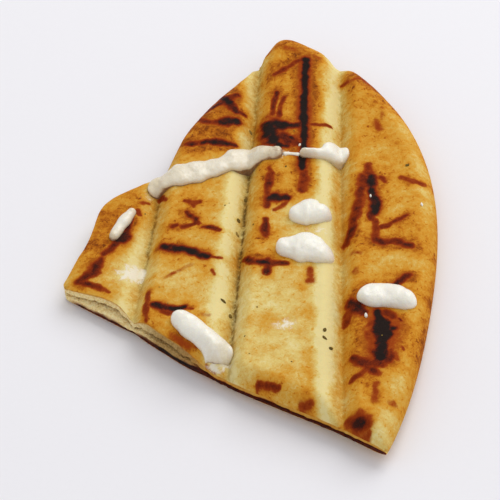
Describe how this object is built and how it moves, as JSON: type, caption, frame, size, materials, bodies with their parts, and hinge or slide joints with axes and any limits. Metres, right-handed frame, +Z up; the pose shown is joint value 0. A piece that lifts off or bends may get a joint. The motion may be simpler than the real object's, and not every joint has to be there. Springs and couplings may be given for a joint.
{
  "type": "garlic pita bread",
  "caption": "Quarter of a puffed, grilled flatbread with pressed ribs, scorch marks and dabs of white garlic sauce, lying flat on its underside.",
  "frame": {"origin": "centre of the bounding box in plan, on the plane that the underside rests on", "axes": "+Z up through the thickness, +X across the ribs towards the rim, +Y along the ribs to the back cut"},
  "size_m": [0.1134, 0.1694, 0.0147],
  "materials": {
    "toasted_bread": "matte, oiled crust",
    "garlic_sauce": "moist gloss"
  },
  "bodies": {
    "root": {"bread": "toasted_bread", "sauce_streak": "garlic_sauce", "sauce_tail": "garlic_sauce", "sauce_upper": "garlic_sauce", "sauce_lower": "garlic_sauce", "sauce_crescent": "garlic_sauce", "sauce_front": "garlic_sauce", "sauce_edge": "garlic_sauce"}
  },
  "joints": []
}
